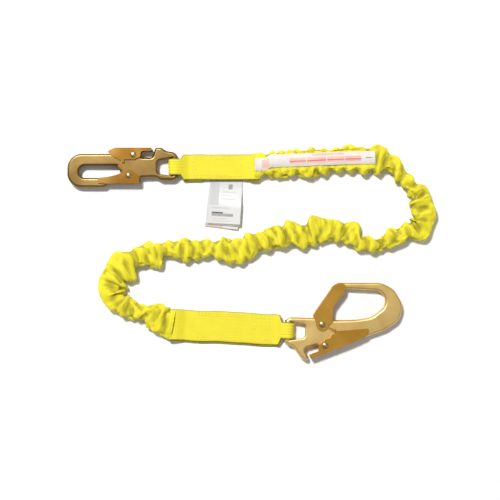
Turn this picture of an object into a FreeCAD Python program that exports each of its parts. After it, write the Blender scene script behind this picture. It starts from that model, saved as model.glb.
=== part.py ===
"""Shock absorbing lanyard, laid out on a surface.

Millimetres. The origin is on the surface under the middle of the hooks and straps, +X along the
lanyard's long side towards the large hook and +Z up. Each hook is drawn in its own frame: origin at
the middle of its eye bar, +x towards the bowl, +y towards the gate, z from the plate's middle plane.
"""

import FreeCAD, Part
import math
import os

V = FreeCAD.Vector
UP = V(0, 0, 1)

# Hook plates and the pressed sheet that the gates and levers are made of
PLATE = 10.0
EDGE_ROUND = 3.0
EYE_ROUND = 1.8
SHEET = 1.8
SHEET_GAP = 0.25
MID_HEIGHT = 8.3
BAR_RADIUS = 4.5

# Rivets and their springs
RIVET_RADIUS = 2.4
RIVET_PLAY = 0.08
PRESS_FIT = 0.02
HEAD_RADIUS = 4.2
HEAD_HEIGHT = 1.1
POCKET_DEPTH = 3.6
GATE_POCKET = 6.0
LEVER_POCKET = 4.3
GATE_COIL = 4.4
LEVER_COIL = 3.3
WIRE = 1.0
SPRING_TURNS = 2.5
TURN_GAP = 0.12

# Lock, drawn about the lever's rivet with x along the lever
GATE_FROM_LEVER = V(6, 27, 0)
LOBE_RADIUS = 19.0
LOBE_CLEARANCE = 0.8
TOOTH_DEPTH = 0.9
TOOTH_FACE = -62
TOOTH_WIDTH = 12
LOCK_GAP = 9.5
LOBE_END = -40
LEVER_WEB = -9.2
PAD_END = 24.0
GATE_BOSS = 8.0
LEVER_BOSS = 6.3

# Webbing
WEB = 3.0
LOOP_CLEARANCE = 0.3
LOOP_RADIUS = BAR_RADIUS + LOOP_CLEARANCE
LOOP_WIDTH = 20.4
THREAD = 0.9

# Gathered jacket and what is in it
JACKET_WIDTH = 34.0
JACKET_HEIGHT = 17.0
JACKET_WALL = 2.0
JACKET_MIDDLE = JACKET_HEIGHT / 2 + 0.2
CORE_WIDTH = 25.0
CORE_HEIGHT = 6.0
ELASTIC_WIDTH = 16.0
ELASTIC_HEIGHT = 1.2
ELASTIC_OFFSET = 4.8
ARC_SHARE = 0.45

# Eye bars: place in plan and the turn of each hook about +Z
SNAP_BAR = V(-78, 113.1, MID_HEIGHT)
SNAP_TURN = 180
LARGE_BAR = V(69.6, -99.5, MID_HEIGHT)
LARGE_TURN = -3

# Straps: length from the bar, width and the height of their middle along their length
SNAP_STRAP_LENGTH = 104.5
SNAP_STRAP_WIDTH = 33.0
SNAP_STRAP_LOW = 4.9
LARGE_STRAP_LENGTH = 148.8
LARGE_STRAP_WIDTH = 40.0
LARGE_STRAP_LOW = 3.4
STRAP_RISE = 17.0
LAYERS_MEET = -20.0

# Booklet
LEAF = 0.4
LEAF_STEP = 0.45
TAG_WIDTH = 44.0
TAG_LENGTH = 63.0
TAG_LEAN = -3.4
TAG_MARGIN = 9.0
TAG_TOP = V(-10.4, 96.4, 0.1)
HEM_GAP = 0.15
SEWN_ROW = 4.7
STITCH_INSET = 1.2

# Label
LABEL_LENGTH = 156.0
LABEL_WIDTH = 17.0
LABEL_HEIGHT = 0.7
LABEL_MIDDLE = V(104.5, 122.5, JACKET_MIDDLE + JACKET_HEIGHT / 2 + 0.05)
LABEL_TURN = 1.6

# The jacket's way over the surface, from the small hook's strap to the large hook's strap
ROUTE = [
    (27.6, 113.8), (52.0, 115.4), (81.0, 119.0), (113.0, 122.4), (146.0, 124.2),
    (173.0, 123.0), (196.0, 117.0), (215.6, 105.4), (229.6, 89.4), (240.2, 71.6),
    (245.4, 50.8), (240.4, 33.4), (222.6, 24.2), (198.4, 17.4), (171.0, 14.6),
    (145.0, 26.2), (116.4, 33.4), (88.2, 26.4), (57.9, 20.8), (29.6, 11.8),
    (-0.7, 3.9), (-33.2, 3.2), (-67.0, 5.2), (-99.4, 2.4), (-126.8, -6.6),
    (-150.8, -21.3), (-164.2, -40.3), (-161.0, -59.2), (-144.6, -71.0),
    (-125.4, -74.6), (-109.8, -80.2), (-95.6, -88.4), (-81.4, -90.8),
]


def edges_where(shape, keep):
    return [edge for edge in shape.Edges if keep(edge)]


def lies_at(edge, height):
    return all(abs(vertex.Point.z - height) < 1e-6 for vertex in edge.Vertexes)


def rounded_wire(corners):
    """A closed outline through (x, y, radius) corners, each turned by a tangent arc."""
    count = len(corners)
    starts = []
    ends = []
    middles = []
    for i, (x, y, radius) in enumerate(corners):
        here = V(x, y, 0)
        before = V(*corners[i - 1][:2], 0)
        after = V(*corners[(i + 1) % count][:2], 0)
        back = (before - here).normalize()
        on = (after - here).normalize()
        half = back.getAngle(on) / 2
        reach = radius / math.tan(half)
        inward = (back + on).normalize()
        starts.append(here + back * reach)
        ends.append(here + on * reach)
        middles.append(here + inward * (radius / math.sin(half) - radius))
    edges = []
    for i in range(count):
        if corners[i][2] > 0:
            edges.append(Part.Arc(starts[i], middles[i], ends[i]).toShape())
        if ends[i].distanceToPoint(starts[(i + 1) % count]) > 1e-4:
            edges.append(Part.LineSegment(ends[i], starts[(i + 1) % count]).toShape())
    return Part.Wire(edges)


def slab(corners, low, high):
    """The outline as a solid between two heights."""
    face = Part.Face(rounded_wire(corners))
    face.translate(V(0, 0, low))
    return face.extrude(V(0, 0, high - low))


def disc(centre, radius, low, high):
    return Part.makeCylinder(radius, high - low, V(centre.x, centre.y, low))


def wedge(centre, inner, outer, first, last, low, high):
    """A piece of a ring about centre, between two radii and two angles."""
    ring = Part.makeCylinder(outer, high - low, V(centre.x, centre.y, low), UP, last - first)
    ring.rotate(centre, UP, first)
    if inner > 0:
        ring = ring.cut(disc(centre, inner, low - 1, high + 1))
    return ring


def placed(shape, turn, origin):
    """The shape turned about +Z and moved to origin."""
    moved = shape.copy()
    moved.Placement = FreeCAD.Placement(origin, FreeCAD.Rotation(UP, turn)).multiply(moved.Placement)
    return moved


class Hook:
    """The sizes in which the two hooks differ. Corners are (x, y, radius)."""

    def __init__(self, name, bar, turn, lever_rivet, lever_turn):
        self.name = name
        self.bar = bar
        self.turn = turn
        self.lever_rivet = lever_rivet
        self.lever_turn = lever_turn
        self.gate_rivet = self.from_lock(GATE_FROM_LEVER)

    def from_lock(self, point):
        """A point of the lock's frame in the hook's frame."""
        return FreeCAD.Rotation(UP, self.lever_turn).multVec(point) + self.lever_rivet

    def lock_corner(self, x, y, radius):
        point = self.from_lock(V(x, y, 0))
        return (point.x, point.y, radius)

    def in_row(self, shape):
        return placed(shape, self.turn, self.bar)

    def lock_in_hook(self, shape):
        return placed(shape, self.lever_turn, self.lever_rivet)


snap = Hook("snap", SNAP_BAR, SNAP_TURN, V(53, -15.5, 0), 0)
large = Hook("large", LARGE_BAR, LARGE_TURN, V(49.2, -16.8, 0), 23.8)

# Small hook: a long narrow bowl in line with the eye
SNAP_SPINE = -17.0
SNAP_INNER = -1.3
SNAP_NOSE_INNER = 14.3
SNAP_SEAT = (SNAP_NOSE_INNER - SNAP_INNER) / 2 - 0.01
snap.plate_corners = [
    (-4.5, -18.5, 9), (10, -20.5, 8), (17, -25.0, 3.5), (24.5, -25.0, 3.0),
    (28.5, -12.0, 4), (44, -12.0, 4), snap.lock_corner(-6.2, -6.1, 5.4),
    snap.lock_corner(8, -6.1, 5), (80, SNAP_SPINE, 12), (139, SNAP_SPINE, 19), (139, 26.7, 18),
    (87.8, 26.7, 5.0), (87.8, SNAP_NOSE_INNER, 3.2),
    (123.5, SNAP_NOSE_INNER, SNAP_SEAT), (123.5, SNAP_INNER, SNAP_SEAT),
    (73, SNAP_INNER, 3.5), (66.5, 18.3, 7), (51, 18.3, 6), (43, 14.0, 6), (25, 13.4, 8),
    (17, 17.6, 8), (-4.5, 17.6, 9),
]
snap.eye_corners = [(1, -12.2, 1), (1, 11.8, 1), (22.5, 8.8, 4.5), (22.5, -8.4, 4.5)]
snap.gate_corners = [
    (45, 22, 1.5), (45, 12.5, 3), (54, 6, 3), (62, 4, 5), (74, 10.4, 6), (86, 13.2, 20),
    (99.5, 14.6, 3), (99.5, 21.2, 3), (88, 22, 10),
]
snap.gate_web = [(44, 22), (85.2, 22)]
snap.lever_front = [(-PAD_END, LEVER_WEB, 2), (24, LEVER_WEB, 3), (34, -4.5, 2), (29, 0.5, 3),
                    (18, 6.5, 3), (0, 6, 3), (-9, 3, 3), (-10, -4.8, 3), (-PAD_END, -4.8, 2)]
snap.lever_web_end = 24.0

# Large hook: a wide bowl set off to the gate's side, so that it goes over a bar
LARGE_SEAT = 14.5
SEAT_TOP = 58.2
SEAT_CENTRE = V(109.5, SEAT_TOP - LARGE_SEAT, 0)
SEAT_RUN_OUT = 50
seat_side = SEAT_CENTRE.x + LARGE_SEAT
seat_foot = SEAT_CENTRE.y - LARGE_SEAT * math.tan(math.radians(SEAT_RUN_OUT / 2))
run_out = V(-math.sin(math.radians(SEAT_RUN_OUT)), -math.cos(math.radians(SEAT_RUN_OUT)), 0) * 22
large.plate_corners = [
    (-4.5, -18.5, 9), (7, -19.5, 6), (17.5, -33.5, 6), large.lock_corner(-31, -9.2, 3.2),
    large.lock_corner(-25.8, -9.0, 3.2), large.lock_corner(-27.5, 6.5, 4),
    large.lock_corner(-9, 4.5, 4), large.lock_corner(-6.2, -6.1, 5.4),
    (125.9, 7.2, 30), (143, 20.5, 16), (148.3, 40, 22), (135, 61, 22), (118, 68.4, 22),
    (59.5, 65.6, 3.4), (59.5, SEAT_TOP, 3.4), (seat_side, SEAT_TOP, LARGE_SEAT),
    (seat_side, seat_foot, LARGE_SEAT), (seat_side + run_out.x, seat_foot + run_out.y, 22),
    (88, 18.8, 30), (58, 16.4, 6), (50.5, 18.5, 6), (-4.5, 17.5, 9),
]
large.eye_corners = [(1, -12.2, 1), (1, 11.8, 1), (22.5, 9.8, 4.5), (22.5, -8.4, 4.5)]
large.gate_corners = [
    (31.2, 22.0, 1.5), (36, 10, 5), (44, 2, 6), (56.8, 14, 6), (56.0, 33.5, 20),
    (68.9, 51.1, 12), (71, 56, 4), (70.5, 65.2, 3), (61.5, 65.0, 3.5), (54.8, 60.2, 6),
]
large.gate_web = [(30.4, 20.7), (53.4, 57.95)]
large.lever_front = [(-PAD_END, LEVER_WEB, 2), (30, LEVER_WEB, 3), (54, -7.5, 3), (62, 0.6, 2.5),
                     (38, 7.6, 6), (17, 13.6, 3), (0, 6, 3), (-9, 3, 3), (-10, -4.8, 3),
                     (-PAD_END, -4.8, 2)]
large.lever_web_end = 22.0

FLANGE_IN = PLATE / 2 + SHEET_GAP
FLANGE_OUT = FLANGE_IN + SHEET
HEAD_BASE = FLANGE_OUT + 0.05


def hook_body(hook):
    """Forged plate with rounded edges, a round eye bar, rivet holes and spring pockets."""
    half = PLATE / 2
    plate = slab(hook.plate_corners, -half, half)
    plate = plate.makeFillet(EDGE_ROUND, edges_where(plate, on_a_face))
    plate = plate.cut(slab(hook.eye_corners, -half - 1, half + 1))
    plate = plate.makeFillet(EYE_ROUND, edges_where(plate, in_eye))
    low, high = bar_span(hook)
    plate = plate.cut(Part.makeBox(1.5 + BAR_RADIUS + 8, high - low, PLATE + 4,
                                   V(-BAR_RADIUS - 8, low, -half - 2)))
    bar = Part.makeCylinder(BAR_RADIUS, high - low + 4, V(0, low - 2, 0), V(0, 1, 0))
    body = plate.fuse(bar).removeSplitter()
    for rivet in (hook.gate_rivet, hook.lever_rivet):
        body = body.cut(disc(rivet, RIVET_RADIUS + PRESS_FIT, -half - 1, half + 1))
    body = body.cut(disc(hook.gate_rivet, GATE_POCKET, half - POCKET_DEPTH, half + 1))
    body = body.cut(disc(hook.lever_rivet, LEVER_POCKET, half - POCKET_DEPTH, half + 1))
    return body


def on_a_face(edge):
    """True for the rims of the plate's two faces."""
    return lies_at(edge, PLATE / 2) or lies_at(edge, -PLATE / 2)


def in_eye(edge):
    """True for the eye's rims, except those beside the bar, which the bar replaces."""
    box = edge.BoundBox
    inside = box.XMin > 0.9 and box.XMax < 22.6 and abs(box.YMin) < 12.3 and abs(box.YMax) < 12.3
    return on_a_face(edge) and inside and box.XMax > 2.1


def bar_span(hook):
    """The two sides of the eye, measured along the bar."""
    ys = [corner[1] for corner in hook.eye_corners[:2]]
    return min(ys), max(ys)


def rivet(centre):
    """A pin through both flanges with a low domed head at each end."""
    pin = disc(centre, RIVET_RADIUS, -HEAD_BASE - 0.2, HEAD_BASE + 0.2)
    ball_radius = (HEAD_RADIUS ** 2 + HEAD_HEIGHT ** 2) / (2 * HEAD_HEIGHT)
    for side in (1, -1):
        ball_height = side * (HEAD_BASE + HEAD_HEIGHT - ball_radius)
        ball = Part.makeSphere(ball_radius, V(centre.x, centre.y, ball_height))
        low = min(side * HEAD_BASE, side * (HEAD_BASE + HEAD_HEIGHT + 1))
        cap = ball.common(disc(centre, HEAD_RADIUS + 1, low, low + HEAD_HEIGHT + 1))
        pin = pin.fuse(cap)
    return pin.removeSplitter()


def coil_spring(centre, radius):
    """The torsion spring round a rivet, in its pocket under the flange."""
    pitch = WIRE + TURN_GAP
    low = PLATE / 2 - POCKET_DEPTH + WIRE / 2 + 0.1
    helix = Part.makeHelix(pitch, pitch * SPRING_TURNS, radius)
    section = Part.Wire(Part.makeCircle(WIRE / 2, V(radius, 0, 0), V(0, 1, 0)))
    spring = Part.Wire(helix.Edges).makePipeShell([section], True, True)
    spring.translate(V(centre.x, centre.y, low))
    return spring


def channel(outline, inner_cut):
    """Pressed U channel: the outline's full height, less the room between its flanges."""
    whole = slab(outline, -FLANGE_OUT, FLANGE_OUT)
    return whole.cut(inner_cut)


def web_room(start, end, side):
    """The space between the flanges: all on one side of the web's inner face, and past its end."""
    along = (V(*end, 0) - V(*start, 0))
    length = along.Length
    turn = math.degrees(math.atan2(along.y, along.x))
    far = 200.0
    past_web = Part.makeBox(2 * far, far, 2 * FLANGE_IN, V(-far, -far - SHEET, -FLANGE_IN))
    past_end = Part.makeBox(far, 2 * far, 2 * FLANGE_IN, V(length, -far, -FLANGE_IN))
    room = past_web.fuse(past_end)
    if side < 0:
        room = room.mirror(V(0, 0, 0), V(0, 1, 0))
    return placed(room, turn, V(*start, 0))


def gate(hook):
    """Gate channel with the boss round its rivet and the lobe that the lever's tooth stops."""
    body = channel(hook.gate_corners, web_room(hook.gate_web[0], hook.gate_web[1], 1))
    for low, high in ((-FLANGE_OUT, -FLANGE_IN), (FLANGE_IN, FLANGE_OUT)):
        lobe = wedge(GATE_FROM_LEVER, 0, LOBE_RADIUS, TOOTH_FACE + LOCK_GAP, LOBE_END, low, high)
        body = body.fuse(hook.lock_in_hook(lobe))
        body = body.fuse(disc(hook.gate_rivet, GATE_BOSS, low, high))
    body = body.cut(disc(hook.gate_rivet, RIVET_RADIUS + RIVET_PLAY, -20, 20))
    return body.removeSplitter()


def lever(hook):
    """Lock lever: thumb pad, flanges down both sides of the plate, and the tooth."""
    room = web_room((-PAD_END, LEVER_WEB), (hook.lever_web_end, LEVER_WEB), -1)
    body = channel(hook.lever_front, room)
    body = body.cut(disc(GATE_FROM_LEVER, LOBE_RADIUS + LOBE_CLEARANCE, -20, 20))
    for low, high in ((-FLANGE_OUT, -FLANGE_IN), (FLANGE_IN, FLANGE_OUT)):
        tooth = wedge(GATE_FROM_LEVER, LOBE_RADIUS - TOOTH_DEPTH, LOBE_RADIUS + 4,
                      TOOTH_FACE - TOOTH_WIDTH, TOOTH_FACE, low, high)
        body = body.fuse(tooth)
        body = body.fuse(disc(V(0, 0, 0), LEVER_BOSS, low, high))
    body = body.cut(disc(V(0, 0, 0), RIVET_RADIUS + RIVET_PLAY, -20, 20))
    return hook.lock_in_hook(body.removeSplitter())


def strap(length, width, low_middle, end_middle):
    """Doubled webbing from the loop round the bar (at x 0, running towards -x) to its end."""
    outer = LOOP_RADIUS + WEB
    top = strap_line(length, low_middle, end_middle, outer, WEB)
    bottom = strap_line(length, low_middle, end_middle, -outer, -WEB)
    profile = Part.Wire([
        Part.Arc(V(0, 0, outer), V(outer, 0, 0), V(0, 0, -outer)).toShape(), *bottom,
        Part.LineSegment(V(-length, 0, end_middle - WEB), V(-length, 0, end_middle + WEB)).toShape(),
        *reversed(top),
    ])
    side = Part.Face(Part.Wire(Part.__sortEdges__(profile.Edges)))
    side.translate(V(0, -width, 0))
    solid = side.extrude(V(0, 2 * width, 0))
    return solid.common(strap_plan(length, width)).cut(loop_hole(low_middle))


def strap_line(length, low_middle, end_middle, loop_height, half):
    """One face of the strap seen from the side: down from the loop, flat, up into the jacket."""
    down = Part.BSplineCurve()
    between = V(LAYERS_MEET * 0.45, 0, loop_height * 0.62 + low_middle * 0.4)
    meet = V(LAYERS_MEET, 0, low_middle + half)
    down.interpolate([V(0, 0, loop_height), between, meet],
                     InitialTangent=V(-1, 0, 0), FinalTangent=V(-1, 0, 0))
    rise = V(STRAP_RISE - length, 0, low_middle + half)
    up = Part.BSplineCurve()
    up.interpolate([rise, V(-length, 0, end_middle + half)],
                   InitialTangent=V(-1, 0, 0), FinalTangent=V(-1, 0, 0))
    return [down.toShape(), Part.LineSegment(meet, rise).toShape(), up.toShape()]


def loop_hole(low_middle):
    """The bar's hole with the narrow gap where the two layers come together."""
    hole = Part.makeCylinder(LOOP_RADIUS, 100, V(0, -50, 0), V(0, 1, 0))
    tip = V(-15, -50, low_middle * 0.5)
    gap = Part.Face(Part.makePolygon([V(0, -50, LOOP_RADIUS), V(0, -50, -LOOP_RADIUS), tip,
                                      V(0, -50, LOOP_RADIUS)])).extrude(V(0, 100, 0))
    return hole.fuse(gap)


def strap_plan(length, width):
    """The strap seen from above: drawn in to pass the eye, then its full width."""
    narrow = LOOP_WIDTH / 2
    half = width / 2
    return slab([(12, -narrow, 1), (12, narrow, 1), (-8, narrow, 6), (-17, half, 6),
                 (-length, half, 0), (-length, -half, 0), (-17, -half, 6), (-8, -narrow, 6)], -30, 40)


def stitch_row(start, end, top, pitch=4.2, length=2.9):
    """A row of thread bridges lying on a face at height top."""
    along = end - start
    count = int(along.Length // pitch)
    turn = math.degrees(math.atan2(along.y, along.x))
    stitches = []
    for i in range(count):
        middle = start + along * ((i + 0.5) / count)
        stitch = Part.makeBox(length, THREAD, THREAD / 2, V(-length / 2, -THREAD / 2, 0))
        stitches.append(placed(stitch, turn, V(middle.x, middle.y, top)))
    return stitches


def strap_stitching(length, width, low_middle):
    """Two rows along each edge, a box at the loop and a cross row, on the strap's top."""
    top = low_middle + WEB
    rows = []
    for inset in (3.0, 6.0):
        for side in (1, -1):
            y = side * (width / 2 - inset)
            rows += stitch_row(V(-24, y, 0), V(-length + 30, y, 0), top)
    for x in (-24.5, -28.0, -44.0):
        rows += stitch_row(V(x, -width / 2 + 7.5, 0), V(x, width / 2 - 7.5, 0), top)
    return rows


def flat_section(width, height, start, direction):
    """A flat oval, or a rectangle if height is small, across the route's start."""
    half = width / 2
    radius = height / 2
    flat = half - radius
    edges = [
        Part.LineSegment(V(-flat, -radius, 0), V(flat, -radius, 0)).toShape(),
        Part.Arc(V(flat, -radius, 0), V(half, 0, 0), V(flat, radius, 0)).toShape(),
        Part.LineSegment(V(flat, radius, 0), V(-flat, radius, 0)).toShape(),
        Part.Arc(V(-flat, radius, 0), V(-half, 0, 0), V(-flat, -radius, 0)).toShape(),
    ]
    section = Part.Wire(edges)
    side = UP.cross(direction)
    matrix = FreeCAD.Matrix(side.x, UP.x, direction.x, start.x, side.y, UP.y, direction.y, start.y,
                            side.z, UP.z, direction.z, start.z, 0, 0, 0, 1)
    return section.transformed(matrix)


def route_wire(height):
    """Straight runs joined by tangent arcs, as wide as the two runs allow."""
    points = [V(x, y, height) for x, y in ROUTE]
    edges = []
    radii = []
    here = points[0]
    for before, corner, after in zip(points, points[1:], points[2:]):
        back = before - corner
        on = after - corner
        reach = ARC_SHARE * min(back.Length, on.Length)
        back.normalize()
        on.normalize()
        half = back.getAngle(on) / 2
        radius = reach * math.tan(half)
        middle = corner + (back + on).normalize() * (radius / math.sin(half) - radius)
        first = corner + back * reach
        last = corner + on * reach
        edges.append(Part.LineSegment(here, first).toShape())
        edges.append(Part.Arc(first, middle, last).toShape())
        radii.append(radius)
        here = last
    edges.append(Part.LineSegment(here, points[-1]).toShape())
    return Part.Wire(edges), radii


def swept(width, height, offset=0.0):
    """A flat section carried along the route at the jacket's height plus an offset."""
    path, radii = route_wire(JACKET_MIDDLE + offset)
    start = V(*ROUTE[0], JACKET_MIDDLE + offset)
    direction = (V(*ROUTE[1], 0) - V(*ROUTE[0], 0)).normalize()
    maker = Part.BRepOffsetAPI.MakePipeShell(path)
    maker.setBiNormalMode(UP)
    maker.add(flat_section(width, height, start, direction))
    maker.build()
    maker.makeSolid()
    section_area = (width - height) * height + math.pi * height ** 2 / 4
    print("swept %.0f x %.1f: volume / (section x length) = %.4f" % (
        width, height, maker.shape().Volume / (section_area * path.Length)))
    return maker.shape()


def cross_seam(end, neighbour, offset, width):
    """Two stitched rows across the jacket's top near one end, offset to the left of the way in."""
    first = V(*end, 0)
    direction = (V(*neighbour, 0) - first).normalize()
    side = UP.cross(direction)
    rows = []
    for along in (2.5, 5.5):
        middle = first + direction * along + side * offset
        rows += stitch_row(middle - side * (width / 2), middle + side * (width / 2),
                           JACKET_MIDDLE + JACKET_HEIGHT / 2)
    return rows


def tag_leaf(level, width, length):
    """One leaf of the booklet, leaning a little, cut off straight along the hem."""
    leaf = slab([(-width / 2, 4, 0), (width / 2, 4, 0), (width / 2, -length, 1.5),
                 (-width / 2, -length, 1.5)], level * LEAF_STEP, level * LEAF_STEP + LEAF)
    leaf = placed(leaf, TAG_LEAN, V(0, 0, 0))
    behind_hem = Part.makeBox(2 * width, 10, 10, V(-width, 0, -5))
    return placed(leaf.cut(behind_hem), 0, TAG_TOP)


def save(name, shape):
    """Writes one named piece, or a group of the same small pieces."""
    solids = shape if isinstance(shape, list) else shape.Solids
    whole = solids[0] if len(solids) == 1 else Part.makeCompound(solids)
    print("%-24s solids %3d  volume %10.1f  valid %s" % (
        name, len(solids), whole.Volume, whole.isValid()))
    whole.exportStep(os.path.join("parts", name + ".step"))


def build_hook(hook):
    save(hook.name + "_hook_body", hook.in_row(hook_body(hook)))
    save(hook.name + "_gate", hook.in_row(gate(hook)))
    save(hook.name + "_lock_lever", hook.in_row(lever(hook)))
    save(hook.name + "_gate_rivet", hook.in_row(rivet(hook.gate_rivet)))
    save(hook.name + "_lock_rivet", hook.in_row(rivet(hook.lever_rivet)))
    save(hook.name + "_gate_spring", hook.in_row(coil_spring(hook.gate_rivet, GATE_COIL)))
    save(hook.name + "_lock_spring", hook.in_row(coil_spring(hook.lever_rivet, LEVER_COIL)))


def build_strap(name, hook, length, width, low):
    """A strap leaves its hook's bar towards the jacket; heights are from the bar's middle."""
    low_middle = low - MID_HEIGHT
    end_middle = JACKET_MIDDLE - MID_HEIGHT
    save(name + "_strap", hook.in_row(strap(length, width, low_middle, end_middle)))
    rows = strap_stitching(length, width, low_middle)
    save(name + "_stitching", [hook.in_row(stitch) for stitch in rows])


def build_jacket():
    radii = route_wire(0)[1]
    print("route radii:", " ".join("%.0f" % radius for radius in radii))
    print("route length: %.1f" % route_wire(0)[0].Length)
    inner_width = JACKET_WIDTH - 2 * JACKET_WALL
    inner_height = JACKET_HEIGHT - 2 * JACKET_WALL
    jacket = swept(JACKET_WIDTH, JACKET_HEIGHT).cut(swept(inner_width, inner_height))
    save("outer_jacket", jacket)
    save("shock_core", swept(CORE_WIDTH, CORE_HEIGHT))
    save("elastic_band_upper", swept(ELASTIC_WIDTH, ELASTIC_HEIGHT, ELASTIC_OFFSET))
    save("elastic_band_lower", swept(ELASTIC_WIDTH, ELASTIC_HEIGHT, -ELASTIC_OFFSET))
    save("jacket_seam_snap", cross_seam(ROUTE[0], ROUTE[1], -5.2, 6.5))
    save("jacket_seam_large", cross_seam(ROUTE[-1], ROUTE[-2], 0, JACKET_WIDTH - JACKET_HEIGHT))


def build_label():
    half = LABEL_LENGTH / 2
    side = LABEL_WIDTH / 2
    label = slab([(-half, -side, 1), (half, -side, 1), (half, side, 1), (-half, side, 1)],
                 0, LABEL_HEIGHT)
    save("warning_label", placed(label, LABEL_TURN, LABEL_MIDDLE))
    rows = []
    for edge in (1, -1):
        y = edge * (side - STITCH_INSET)
        rows += stitch_row(V(-half + 2, y, 0), V(half - 2, y, 0), LABEL_HEIGHT, 4.2, 2.9)
        x = edge * (half - STITCH_INSET)
        rows += stitch_row(V(x, -side + 2, 0), V(x, side - 2, 0), LABEL_HEIGHT, 4.2, 2.9)
    save("warning_label_stitching", [placed(stitch, LABEL_TURN, LABEL_MIDDLE) for stitch in rows])


def build_tag():
    """Booklet of three leaves, hinged at its edge that is sewn under the strap."""
    save("tag_back_leaf", tag_leaf(0, TAG_WIDTH, TAG_LENGTH))
    save("tag_inner_leaf", tag_leaf(1, TAG_WIDTH - 1.5, TAG_LENGTH - 1.0))
    save("tag_front_leaf", tag_leaf(2, TAG_WIDTH - 0.5, TAG_LENGTH - 2.5))
    edge_height = 3 * LEAF_STEP
    edge = Part.makeBox(TAG_WIDTH - 2, TAG_MARGIN, edge_height, V(-TAG_WIDTH / 2 + 1, HEM_GAP, 0))
    save("tag_sewn_edge", placed(edge, 0, TAG_TOP))
    y = TAG_TOP.y + SEWN_ROW
    row = stitch_row(V(TAG_TOP.x - 19, y, 0), V(TAG_TOP.x + 19, y, 0),
                     SNAP_STRAP_LOW + WEB, 3.6, 2.4)
    save("tag_stitching", row)


os.makedirs("parts", exist_ok=True)
build_hook(snap)
build_hook(large)
build_strap("snap_end", snap, SNAP_STRAP_LENGTH, SNAP_STRAP_WIDTH, SNAP_STRAP_LOW)
build_strap("large_end", large, LARGE_STRAP_LENGTH, LARGE_STRAP_WIDTH, LARGE_STRAP_LOW)
build_jacket()
build_label()
build_tag()
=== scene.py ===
"""Shock absorbing lanyard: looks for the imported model, in its frame. Metres, +Z up.

Order: camera and light, the jacket (the one free cord) with what is in and on it, the two straps,
the booklet, the metal hooks. Every random draw is seeded.
"""

import bpy
import math
import random
import numpy as np
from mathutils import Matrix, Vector, noise


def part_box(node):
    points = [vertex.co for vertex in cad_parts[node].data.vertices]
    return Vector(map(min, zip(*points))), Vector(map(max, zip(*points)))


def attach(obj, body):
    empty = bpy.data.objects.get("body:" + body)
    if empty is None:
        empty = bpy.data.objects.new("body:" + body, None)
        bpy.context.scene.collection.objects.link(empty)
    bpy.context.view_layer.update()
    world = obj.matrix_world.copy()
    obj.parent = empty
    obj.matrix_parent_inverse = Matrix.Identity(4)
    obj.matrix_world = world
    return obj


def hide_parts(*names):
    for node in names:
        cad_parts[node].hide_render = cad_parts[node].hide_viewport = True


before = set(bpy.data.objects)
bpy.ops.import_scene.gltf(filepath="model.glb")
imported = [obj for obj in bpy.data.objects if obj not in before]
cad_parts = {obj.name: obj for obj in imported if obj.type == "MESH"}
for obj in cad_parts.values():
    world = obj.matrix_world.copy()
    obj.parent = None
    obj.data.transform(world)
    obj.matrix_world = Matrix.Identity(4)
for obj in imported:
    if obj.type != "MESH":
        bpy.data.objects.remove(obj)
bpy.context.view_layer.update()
MM = 0.001

# The jacket's way over the surface, as in part.py, and the height of its middle
ROUTE = [
    (0.0276, 0.1138), (0.0520, 0.1154), (0.0810, 0.1190), (0.1130, 0.1224), (0.1460, 0.1242),
    (0.1730, 0.1230), (0.1960, 0.1170), (0.2156, 0.1054), (0.2296, 0.0894), (0.2402, 0.0716),
    (0.2454, 0.0508), (0.2404, 0.0334), (0.2226, 0.0242), (0.1984, 0.0174), (0.1710, 0.0146),
    (0.1450, 0.0262), (0.1164, 0.0334), (0.0882, 0.0264), (0.0579, 0.0208), (0.0296, 0.0118),
    (-0.0007, 0.0039), (-0.0332, 0.0032), (-0.0670, 0.0052), (-0.0994, 0.0024), (-0.1268, -0.0066),
    (-0.1508, -0.0213), (-0.1642, -0.0403), (-0.1610, -0.0592), (-0.1446, -0.0710),
    (-0.1254, -0.0746), (-0.1098, -0.0802), (-0.0956, -0.0884), (-0.0814, -0.0908),
]
JACKET_MIDDLE = 8.7 * MM

# How far the gathered jacket reaches to the left and right of its line: (distance, left, right) in mm
JACKET_SHAPE = [
    (0, 17.3, 17.3), (12, 17, 14), (40, 17.5, 17), (70, 16, 20), (100, 14.5, 17), (140, 17, 18),
    (160, 22, 14), (178, 15, 8), (195, 9, 10), (210, 7, 10), (225, 15, 10), (240, 18, 13),
    (275, 18, 13), (290, 7, 14), (310, 10, 12), (330, 12, 5), (350, 14, 7), (365, 11, 19),
    (385, 14, 14), (410, 18, 18), (425, 21, 12), (450, 13, 18), (485, 9, 16), (515, 20, 15),
    (550, 8, 14), (585, 14, 15), (610, 8, 13), (625, 18, 15), (650, 11, 15), (668, 21, 22),
    (690, 20, 17), (735, 18, 11), (760, 11, 10), (784, 20, 15), (806, 20.8, 20.8),
]
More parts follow.
